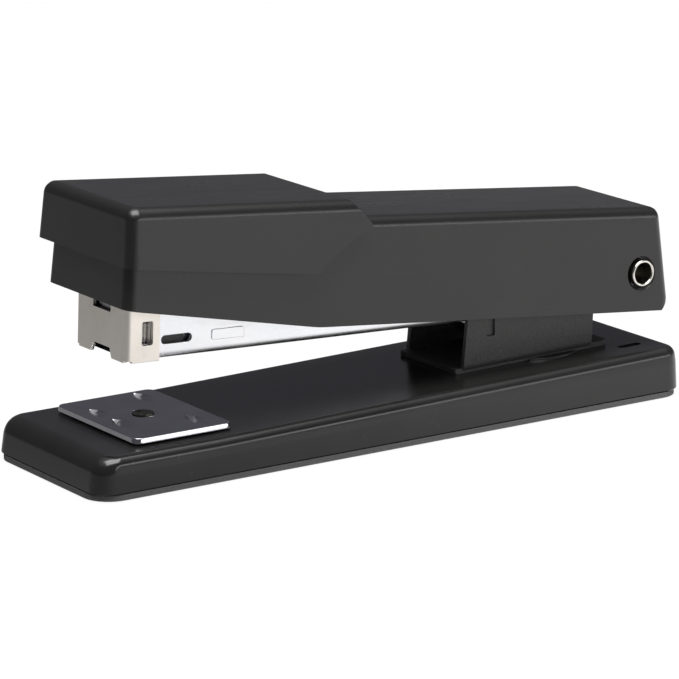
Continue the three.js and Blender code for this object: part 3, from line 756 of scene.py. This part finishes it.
def anvil_pin():
    """Its head is dished by the riveting punch, with a small boss left in the middle."""
    return lathe(rounded_profile([
        (0, PIN_LOW.z, 0), (1.45, PIN_LOW.z, 0.2), (1.45, ANVIL_HIGH.z + 0.04, 0),
        (1.95, ANVIL_HIGH.z + 0.04, 0), (1.95, PIN_HIGH.z, 0.1), (1.35, PIN_HIGH.z, 0.1),
        (1.05, PIN_HIGH.z - 0.16, 0.1), (0.55, PIN_HIGH.z - 0.16, 0.08),
        (0.35, PIN_HIGH.z - 0.04, 0.08), (0, PIN_HIGH.z - 0.04, 0),
    ]), "z", (ANVIL_PIN, 0, 0))


def anvil_button():
    low, high = span("anvil_button")
    radius, bore = (high.x - low.x) / 2, PIN_HOLE["button"]
    return lathe(rounded_profile([
        (bore, low.z, 0), (radius, low.z, 0.35), (radius, high.z, 0.35), (bore, high.z, 0),
    ]), "z", (ANVIL_PIN, 0, 0), closed=True)


def anvil_spring():
    low, high = span("anvil_spring")
    radius, wire, turns = 2.9, 0.3, 3
    return coil((ANVIL_PIN, 0, low.z), (0, 0, 1), radius, wire, turns, high.z - low.z)


# ---- Hinge bracket ----

BRACKET_SHEET = 0.9
BRACKET_GAP = 0.04  # between it and the base
BRACKET_BEND = 1.5
BRACKET_EAR = 4.2
BRACKET_ENDS = (18.4, 47.1)  # of the walls; the floor runs past both
BRACKET_TAIL = 51.4  # the rear end of its floor
BRACKET_CHAMFER = 0.9
BRACKET_BLANK = (22, 10, 62)  # the U that its side view is cut from: its rim and its two ends
BRACKET_RECESS = rectangle(23.6, 25.4, 14.4, 20.4, 0.2)
HINGE_HOLE = 2.32


def hinge_bracket():
    """A U of sheet steel. Its floor runs past the walls at both ends."""
    front, rear = BRACKET_ENDS
    x, z = HINGE_MM.x, HINGE_MM.z
    foot = BASE_TOPS[0]
    side = eared([
        (front, foot, 0), (rear, foot, 0), (rear + 0.6, z - BRACKET_EAR, 1.2),
        (x, z - BRACKET_EAR, 0), (x, z + BRACKET_EAR, 0), (x - 3, z + BRACKET_EAR, 3),
        (front + 1.7, 23.6, 2),
    ], BRACKET_EAR, x, z)
    walls = common(onto_base(channel(
        BRACKET_HIGH.y, BRACKET_SHEET, BRACKET_BEND, BRACKET_GAP, *BRACKET_BLANK)), side)
    half = BRACKET_HIGH.y - 0.4
    chamfer = BRACKET_CHAMFER
    floor = onto_base(prism([
        (BRACKET_LOW.x, -half, 0), (BRACKET_TAIL - chamfer, -half, 0),
        (BRACKET_TAIL, chamfer - half, 0), (BRACKET_TAIL, half - chamfer, 0),
        (BRACKET_TAIL - chamfer, half, 0), (BRACKET_LOW.x, half, 0),
    ], "z", BRACKET_GAP, BRACKET_GAP + BRACKET_SHEET))
    # The recess goes halfway into the sheet from outside.
    deep = BRACKET_HIGH.y - BRACKET_SHEET / 2
    recess = cut(crosswise(BRACKET_RECESS), block(front, rear, -deep, deep, foot, z))
    holes = [*rivet_holes(), crosswise_hole(x, z, HINGE_HOLE)]
    return eased(cut(joined(walls, floor), *holes, recess), 0.14)


def bracket_rivet(name):
    low, high = span(f"bracket_rivet_{name}")
    return rivet(RIVETS[name].x, 0, 1.6, [(2.5, low.z + 0.7, low.z), (2.7, high.z - 0.8, high.z)])


def lift_spring():
    thickness, half_width = 0.5, 5.4
    foot = span("lift_spring")[0].z + thickness
    sheet = leaf([(21.6, 16.9, 0), (30.5, foot, 4), (46.8, foot, 0)], thickness, half_width)
    return cut(sheet, *rivet_holes())


def pivot_rivet():
    """A hollow rivet. Each end is rolled over into a rounded ring."""
    low, high = span("pivot_rivet")
    half = (high.y - low.y) / 2
    outer, bore, shank, step = 2.45, 1.85, 2.2, 10.4
    profile = rounded_profile([
        (bore, -half + 0.9, 0), (bore + 0.12, -half, 0.28), (outer, -half, 0.28),
        (outer, -step, 0), (shank, -step, 0), (shank, step, 0), (outer, step, 0),
        (outer, half, 0.28), (bore + 0.12, half, 0.28), (bore, half - 0.9, 0),
    ])
    return lathe(profile, "y", (HINGE_MM.x, 0, HINGE_MM.z), closed=True)


# ---- Magazine, in the magazine's tilted frame ----

CHANNEL_LOW = span("magazine_channel", MAGAZINE)[0]
NOSE_LOW, NOSE_HIGH = span("nose_plate", MAGAZINE)
STRIP_LOW, STRIP_HIGH = span("staple_strip", MAGAZINE)
CHANNEL_HALF_WIDTH = 7.5
CHANNEL_SHEET = 0.8
CHANNEL_BEND = 1.3
CHANNEL_EAR = 4.0
CHANNEL_TOP = 3.2
STAPLE_PITCH = 0.516
STAPLE_WIRE = 0.5
CHANNEL_SLOT = rectangle(-98.2, -92.15, -4.54, -3.03, 0.74)
PANEL = rectangle(-88.2, -81.9, -4.75, -2.9, 0.35)
PANEL_RISE = 0.13
PANEL_GROOVE = 0.04
PANEL_RIM = rectangle(-88.5, -81.6, -5.05, -2.6, 0.6)
NOSE_WINDOW = rectangle(-102.55, -100.42, -4.15, -0.1, 0.35)


def embossed_panel(side):
    """A low raised rectangle with rounded edges on the channel's wall."""
    near, far = between(side, CHANNEL_HALF_WIDTH - 0.4, CHANNEL_HALF_WIDTH + PANEL_RISE)
    return prism(PANEL, "y", near, far, 0.1)


def panel_groove(side):
    """A fine groove in the wall round that rectangle."""
    near, far = between(side, CHANNEL_HALF_WIDTH - PANEL_GROOVE, CHANNEL_HALF_WIDTH + 1)
    return cut(prism(PANEL_RIM, "y", near, far), crosswise(PANEL))


def magazine_channel():
    low, top = CHANNEL_LOW.z, CHANNEL_TOP
    side = eared([
        (CHANNEL_LOW.x, low - 1, 0), (-8.0, low - 1, 0), (-5, -CHANNEL_EAR, 1), (0, -CHANNEL_EAR, 0),
        (0, CHANNEL_EAR, 0), (-3, CHANNEL_EAR, 2), (-14, top, 4), (CHANNEL_LOW.x, top, 0),
    ], CHANNEL_EAR)
    walls = common(channel(
        CHANNEL_HALF_WIDTH, CHANNEL_SHEET, CHANNEL_BEND, low, 8, CHANNEL_LOW.x, 8), side)
    exit_gap = block(CHANNEL_LOW.x - 1, CHANNEL_LOW.x + 1.2, -6.5, 6.5, low - 1, low + 1.3)
    holes = [crosswise(CHANNEL_SLOT), crosswise(NOSE_WINDOW), crosswise_hole(0, 0, HINGE_HOLE)]
    body = cut(eased(cut(walls, exit_gap, *holes), 0.1), *both_sides(panel_groove))
    return joined(body, *both_sides(embossed_panel))


def nose_plate():
    """A plate folded round the front of the channel, with windows and notches."""
    front, half = NOSE_LOW.x, NOSE_HIGH.y
    low, top, end = NOSE_LOW.z, NOSE_HIGH.z, -99.0
    sheet, bend = 0.7, 0.94
    inside = half - sheet
    shell = prism([
        (front, -half, bend), (end, -half, 0), (end, -inside, 0), (front + sheet, -inside, 0.25),
        (front + sheet, inside, 0.25), (end, inside, 0), (end, half, 0), (front, half, bend),
    ], "z", low, top)
    top_notch = prism(rectangle(-2.9, 2.9, 0.9, top + 1, 0.3), "x", front - 1, front + 2)
    bottom_notch = prism([
        (-3.9, low - 1, 0), (3.9, low - 1, 0), (2.9, -5.9, 0.9), (2.9, -5.3, 0.3),
        (-2.9, -5.3, 0.3), (-2.9, -5.9, 0.9),
    ], "x", front - 1, front + 2)
    relief = [block(front - 0.4, front + 1.05, *between(side, half - 1.1, half + 0.4),
                    low - 1, low + 0.35) for side in (-1, 1)]
    openings = [top_notch, bottom_notch, crosswise(NOSE_WINDOW), *relief]
    return eased(cut(shell, *openings), 0.13, 3)


def staple(x):
    """One staple across the strip, its wire slightly flattened."""
    half, top, legs, wire = STRIP_HIGH.y, STRIP_HIGH.z, STRIP_LOW.z, STAPLE_WIRE
    inside = half - wire
    thick = STAPLE_PITCH - 0.02
    return prism([
        (-half, legs, 0), (-inside, legs, 0), (-inside, top - wire, 0.25), (inside, top - wire, 0.25),
        (inside, legs, 0), (half, legs, 0), (half, top, 0.7), (-half, top, 0.7),
    ], "x", x, x + thick, 0.11)


def staple_strip():
    """The staples left in the magazine, one behind the other."""
    one = staple(STRIP_LOW.x)
    count = round((STRIP_HIGH.x - STRIP_LOW.x) / STAPLE_PITCH)
    rows = one.modifiers.new("rows", "ARRAY")
    rows.use_relative_offset = False
    rows.use_constant_offset = True
    rows.constant_offset_displace = (STAPLE_PITCH, 0, 0)
    rows.count = count
    return evaluated(one)


def guide_rod():
    low, high = span("guide_rod", MAGAZINE)
    radius = (high.z - low.z) / 2
    middle = (high.z + low.z) / 2
    return lathe(rounded_profile([
        (0, low.x, 0), (radius, low.x, 0.2), (radius, high.x, 0.2), (0, high.x, 0),
    ]), "x", (0, 0, middle))


def follower_spring():
    low, high = span("follower_spring", MAGAZINE)
    middle = (high.z + low.z) / 2
    radius, wire, turns = 1.6, 0.25, 30
    return coil((low.x, 0, middle), (1, 0, 0), radius, wire, turns, high.x - low.x)


# ---- Handle, in the handle's tilted frame ----

COVER_HIGH = span("top_cover", HANDLE)[1]
FRAME_HALF_WIDTH = 10.2
FRAME_TOP = 9.4
COVER_WALL = 1.4
COVER_TOP = 11.7
COVER_FRONT = -108.65
COVER_FRONT_BOTTOM = -2.8
COVER_BELLY = -70.0  # the lower edge slopes down to here from the nose
COVER_BOTTOM = -7.1
COVER_REAR = {"top": 3.8, "bottom": 7.2, "step": -4.89}
COVER_EDGE = 2.0
COVER_DRAFT = 0.05
COVER_HALF_WIDTH = 12.68 + COVER_DRAFT * COVER_TOP  # at the level of the hinge
COVER_HOLE = 2.9
COVER_BOSS = 4.1  # radius of the boss round that hole, inside
COVER_GAP = 0.25  # between the frame and what faces it on the cover's side walls
RIB = {"x": (-94, -84, -74), "thickness": 1.2, "half_width": 10.5, "top": 14}
CLIP = {"x": (-58, -52), "sill": 1.8, "hook": 3.9, "top": 7}
COVER_CORNER = 2.1
CAP_FRONT = -110.0
CAP_STEP = 4.72
CAP_LEAN = 0.2  # its front leans forward by this much at the top
CAP_EDGE = 2.0
CAP_HALF_WIDTH = COVER_HIGH.y
CAP_DRAFT = 0.085
CAP_TOPS = {"front": 14.6, "rear": 15.0}
CAP_REAR = -66.0


def drafted(corners, half_width, level, draft, edge):
    """An outline in (x, z), half_width wide at that level and narrower by draft above it."""
    def lean(point):
        share = (half_width - draft * (point.z - level)) / half_width
        return Vector((point.x, point.y * share, point.z))
    return prism(corners, "y", -half_width, half_width, edge, lean)


def cover_side(inset, bottom):
    """The cover's side view down to that level, moved in by inset above it."""
    front, top = COVER_FRONT + inset, COVER_TOP - inset
    rear = COVER_REAR["bottom"] - inset
    return [
        (front, bottom, 0), (rear, bottom, 0), (rear, COVER_REAR["step"], 0),
        (COVER_REAR["top"] - inset, top, COVER_CORNER), (front, top, COVER_CORNER),
    ]


def cap_block(inset, half_width, edge):
    """The raised front part: a drafted block, cut off below and behind along its side lines."""
    slope = (CAP_TOPS["rear"] - CAP_TOPS["front"]) / (CAP_REAR - CAP_FRONT)
    beyond = 16
    shape = drafted([
        (CAP_FRONT + inset, CAP_STEP - 4, 0), (CAP_REAR + beyond, CAP_STEP - 4, 0),
        (CAP_REAR + beyond, CAP_TOPS["rear"] + slope * beyond - inset, 0),
        (CAP_FRONT - CAP_LEAN + inset, CAP_TOPS["front"] - inset, COVER_CORNER),
    ], half_width, CAP_STEP, CAP_DRAFT, edge)
    kept = crosswise([
        (CAP_FRONT - 2, CAP_STEP + inset, 0), (-72.49 - inset, 2.63 + inset, 0),
        (-68.34 - inset, 6.52, 0), (-61.4 - 1.5 * inset, 10.7, 0),
        (-69.05 - 0.4 * inset, 18, 0), (CAP_FRONT - 2, 18, 0),
    ])
    return common(shape, kept)


def above_cover_edge():
    """What lies above the cover's lower edge, which rises from the belly to the nose."""
    slope = (COVER_BOTTOM - COVER_FRONT_BOTTOM) / (COVER_BELLY - COVER_FRONT)
    front = COVER_FRONT - 3
    rear = COVER_REAR["bottom"]
    return crosswise([
        (front, COVER_FRONT_BOTTOM - 3 * slope, 0), (COVER_BELLY, COVER_BOTTOM, 20),
        (rear - 1.84, COVER_BOTTOM, 0), (rear, COVER_REAR["step"], 0), (rear + 5, 1.3, 0),
        (rear + 5, 20, 0), (front, 20, 0),
    ])


def clip(side):
    """A post on the cover's side wall, with a hook that reaches in to the frame."""
    front, rear = CLIP["x"]
    post = between(side, FRAME_HALF_WIDTH + COVER_GAP, 12.4)
    hook = between(side, 9.5, FRAME_HALF_WIDTH + 0.5)
    return joined(block(front, rear, *post, CLIP["sill"], CLIP["top"]),
                  block(front, rear, *hook, CLIP["sill"], CLIP["hook"]))


def hole_chamfer(side):
    """Widens the hinge hole towards the outside of the cover."""
    profile = [(0, 11.0), (COVER_HOLE, 11.0), (COVER_HOLE, 13.0), (COVER_HOLE + 0.4, 13.4),
               (COVER_HOLE + 0.4, 16), (0, 16)]
    return lathe([(radius, side * height) for radius, height in profile], "y", (0, 0, 0))


def top_cover():
    lower = common(drafted(
        cover_side(0, -11.1), COVER_HALF_WIDTH, 0, COVER_DRAFT, COVER_EDGE), above_cover_edge())
    cap = cap_block(0, CAP_HALF_WIDTH, CAP_EDGE)
    hollow = drafted(
        cover_side(COVER_WALL, -15.1), COVER_HALF_WIDTH - COVER_WALL, 0, COVER_DRAFT, 0.4)
    cap_hollow = cap_block(COVER_WALL + 0.3, CAP_HALF_WIDTH - COVER_WALL - 1.6, 0.4)
    shell = eased(cut(joined(lower, cap), hollow, cap_hollow), 0.12)
    ribs = [block(x, x + RIB["thickness"], -RIB["half_width"], RIB["half_width"],
                  FRAME_TOP + 0.2, RIB["top"]) for x in RIB["x"]]
    bosses = both_sides(lambda side: bar(
        "y", (0, 0, 0), COVER_BOSS, *between(side, FRAME_HALF_WIDTH + COVER_GAP, 12.5)))
    clips = both_sides(clip)
    whole = joined(shell, *ribs, *bosses, *clips)
    chamfers = both_sides(hole_chamfer)
    return cut(whole, crosswise_hole(0, 0, COVER_HOLE), *chamfers)


def blade_rivet(name):
    low, high = span(f"blade_rivet_{name}", HANDLE)
    x, y = (low.x + high.x) / 2, (low.y + high.y) / 2
    return rivet(x, y, 0.9, [(1.6, low.z + 0.6, low.z), (1.6, high.z - 0.6, high.z)])


def spring_rivet_x():
    low, high = span("spring_rivet", HANDLE)
    return (low.x + high.x) / 2


def spring_rivet():
    low, high = span("spring_rivet", HANDLE)
    heads = [(2.2, low.z + 0.6, low.z), (2.0, high.z - 0.4, high.z)]
    return rivet(spring_rivet_x(), 0, 1.1, heads)


def handle_spring():
    sheet = leaf([(-69.5, 0.3, 0), (-66, 0.1, 2), (-50, 8.2, 5), (-38, 8.2, 0)], 0.4, 7.2)
    return cut(sheet, upright_hole(spring_rivet_x(), 1.2))


def from_cad(node, ease):
    """A fine version of a CAD node: flat faces made whole, and the edges eased."""
    source = frame["nodes"][node]
    mesh = source.data.copy()
    mesh.transform(Matrix.Scale(1 / MM, 4))
    made = added(node, mesh)
    bm = bmesh.new()
    bm.from_mesh(mesh)
    bmesh.ops.remove_doubles(bm, verts=bm.verts, dist=1e-3)
    bmesh.ops.dissolve_limit(bm, angle_limit=math.radians(0.6), verts=bm.verts, edges=bm.edges)
    bm.to_mesh(mesh)
    bm.free()
    if "custom_normal" in mesh.attributes:
        mesh.attributes.remove(mesh.attributes["custom_normal"])
    return eased(made, ease)


# ---- The pieces, each on its body ----

finished(base_plate(), "base_pan", ROOT, "base", ["base_plate"], "base_paint")
finished(base_pad(), "base_mat", ROOT, "base", ["base_pad"], "pad_rubber")
finished(hinge_bracket(), "bracket", ROOT, "base", ["hinge_bracket"], "bracket_paint")
for place in RIVETS:
    finished(bracket_rivet(place), f"bracket_fixing_{place}", ROOT, "base",
             [f"bracket_rivet_{place}"], "spring_steel")
finished(pivot_rivet(), "pivot_tube", ROOT, "base", ["pivot_rivet"], "rivet_nickel")
lifter = finished(lift_spring(), "lift_leaf", ROOT, "base", ["lift_spring"], "spring_steel")
return_coil = finished(
    anvil_spring(), "anvil_coil", ROOT, "base", ["anvil_spring"], "spring_steel")

finished(anvil_pin(), "anvil_rivet", ROOT, "anvil_post", ["anvil_pin"], "pin_steel")
finished(anvil_button(), "anvil_push_button", ROOT, "anvil_post", ["anvil_button"], "spring_steel")
finished(anvil_plate(), "anvil_face", ROOT, "anvil", ["anvil_plate"], "anvil_chrome")

finished(magazine_channel(), "magazine_trough", MAGAZINE, "magazine", ["magazine_channel"],
         "magazine_zinc")
finished(nose_plate(), "nose_face", MAGAZINE, "magazine", ["nose_plate"], "nose_nickel")
finished(from_cad("staple_rail", 0.1), "staple_saddle", ROOT, "magazine", ["staple_rail"],
         "magazine_zinc")
finished(guide_rod(), "follower_rod", MAGAZINE, "magazine", ["guide_rod"], "spring_steel")
finished(staple_strip(), "staples", MAGAZINE, "magazine", ["staple_strip"], "staple_wire")
pusher_coil = finished(
    follower_spring(), "follower_coil", MAGAZINE, "magazine", ["follower_spring"], "spring_steel")
finished(from_cad("follower", 0.25), "follower_block", ROOT, "pusher", ["follower"],
         "follower_plastic")

finished(top_cover(), "handle_cover", HANDLE, "handle", ["top_cover"], "cover_plastic")
finished(from_cad("handle_frame", 0.12), "handle_channel", ROOT, "handle", ["handle_frame"],
         "frame_zinc")
finished(from_cad("driver_blade", 0.08), "blade", ROOT, "handle", ["driver_blade"], "spring_steel")
for place in ("left", "right"):
    finished(blade_rivet(place), f"blade_fixing_{place}", HANDLE, "handle",
             [f"blade_rivet_{place}"], "spring_steel")
finished(spring_rivet(), "spring_fixing", HANDLE, "handle", ["spring_rivet"], "spring_steel")
press_leaf = finished(
    handle_spring(), "handle_leaf", HANDLE, "spring_carrier", ["handle_spring"], "spring_steel")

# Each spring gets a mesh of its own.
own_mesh(lifter)
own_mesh(press_leaf)
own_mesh(return_coil)
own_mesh(pusher_coil)

# ---- Stage, lights and camera ----
# Fitted to the photograph by the edges of the base, the magazine and the cover.
CAMERA = {
    "target": (-0.00199, 0, 0.01573),
    "place": (-34.02, 14.36, 0.6649),  # azimuth, elevation, distance from the target
    "roll": -0.14, "lens": 200.16, "sensor": 36.0,
}
LIGHT_TARGET = (0, 0, 0.02)
FLOOR_GLOW = {"seen": 0.9, "reflected": (0.21, 1.06)}  # reflected at the left and at the right
FLOOR_FADE = {"x": (-0.085, 0.09), "slant": -0.4}  # where it fades, and its slant with y
FLOOR_GREY = 0.08
STUDIO_GLOW = ((0.0, (0.105, 0.105, 0.12)), (0.66, (0.12, 0.12, 0.135)), (0.95, (0.9, 0.9, 0.9)))


def look_at(thing, target, roll=0.0):
    """Turns a light or camera to face the target, from where it is."""
    back = (thing.location - Vector(target)).normalized()
    right = Vector((0, 0, 1)).cross(back).normalized()
    up = back.cross(right)
    turned_right = right * math.cos(roll) + up * math.sin(roll)
    turned_up = up * math.cos(roll) - right * math.sin(roll)
    axes = Matrix((turned_right, turned_up, back)).transposed()
    thing.rotation_euler = axes.to_euler()


def around(target, azimuth, elevation, distance):
    """A place at that distance: azimuth 0 is on the near side, 90 towards +X."""
    a, e = math.radians(azimuth), math.radians(elevation)
    back = Vector((math.sin(a) * math.cos(e), -math.cos(a) * math.cos(e), math.sin(e)))
    return Vector(target) + back * distance


def add_camera():
    data = bpy.data.cameras.new("photo_camera")
    data.lens = CAMERA["lens"]
    data.sensor_width = CAMERA["sensor"]
    camera = added("photo_camera", data)
    camera.location = around(CAMERA["target"], *CAMERA["place"])
    look_at(camera, CAMERA["target"], math.radians(CAMERA["roll"]))
    bpy.context.scene.camera = camera


def add_panel(name, azimuth, elevation, distance, width, height, power):
    """A soft rectangular light that faces the stapler and isn't seen itself."""
    data = bpy.data.lights.new(name, "AREA")
    data.shape = "RECTANGLE"
    data.size, data.size_y = width, height
    data.energy = power
    light = added(name, data)
    light.location = around(LIGHT_TARGET, azimuth, elevation, distance)
    look_at(light, LIGHT_TARGET)
    light.visible_camera = False


def add_floor():
    """A pale round floor: white to the camera. Pieces reflect it dimmer, most so at the left."""
    bm = bmesh.new()
    bmesh.ops.create_circle(bm, cap_ends=True, segments=96, radius=6.0)
    floor = new_piece("floor", bm)
    floor.location.z = -0.0002
    look = Look(
        "floor_white", Base_Color=(FLOOR_GREY, FLOOR_GREY, FLOOR_GREY, 1), Roughness=0.9,
        Specular_IOR_Level=0.0, Emission_Color=(1, 1, 1, 1))
    place = look.add("ShaderNodeSeparateXYZ", {0: look.place}).outputs
    along = look.add("ShaderNodeMath", {
        0: place["Y"], 1: FLOOR_FADE["slant"], 2: place["X"],
    }, operation="MULTIPLY_ADD").outputs["Value"]
    reflected = look.span(along, FLOOR_FADE["x"], FLOOR_GLOW["reflected"])
    seen = look.add("ShaderNodeLightPath").outputs["Is Camera Ray"]
    glow = look.span(seen, (0, 1), (reflected, FLOOR_GLOW["seen"]))
    look.tree.links.new(glow, look.shader.inputs["Emission Strength"])
    floor.data.materials.append(look.material)


def add_surroundings():
    """White to the camera; a dim studio, brighter overhead, to everything else."""
    world = bpy.data.worlds.new("studio")
    bpy.context.scene.world = world
    world.use_nodes = True
    tree = world.node_tree
    tree.nodes.clear()
    direction = add_node(tree, "ShaderNodeTexCoord").outputs["Generated"]
    height = add_node(tree, "ShaderNodeSeparateXYZ", {0: direction}).outputs["Z"]
    ramp = add_node(tree, "ShaderNodeValToRGB", {"Fac": height})
    ramp.color_ramp.elements.new(STUDIO_GLOW[1][0])
    for element, (position, colour) in zip(ramp.color_ramp.elements, STUDIO_GLOW):
        element.position = position
        element.color = (*colour, 1)
    studio = add_node(tree, "ShaderNodeBackground", {"Color": ramp.outputs["Color"]})
    white = add_node(tree, "ShaderNodeBackground", {"Color": (1, 1, 1, 1)})
    seen = add_node(tree, "ShaderNodeLightPath").outputs["Is Camera Ray"]
    either = add_node(tree, "ShaderNodeMixShader", {
        "Fac": seen, 1: studio.outputs[0], 2: white.outputs[0],
    })
    add_node(tree, "ShaderNodeOutputWorld", {"Surface": either.outputs[0]})


add_camera()
add_floor()
add_surroundings()
add_panel("overhead", -20, 78, 0.9, 0.9, 0.7, 14.0)
add_panel("near_side", 33, 10.5, 1.2, 1.3, 0.2, 3.2)
bpy.context.scene.view_settings.view_transform = "Standard"
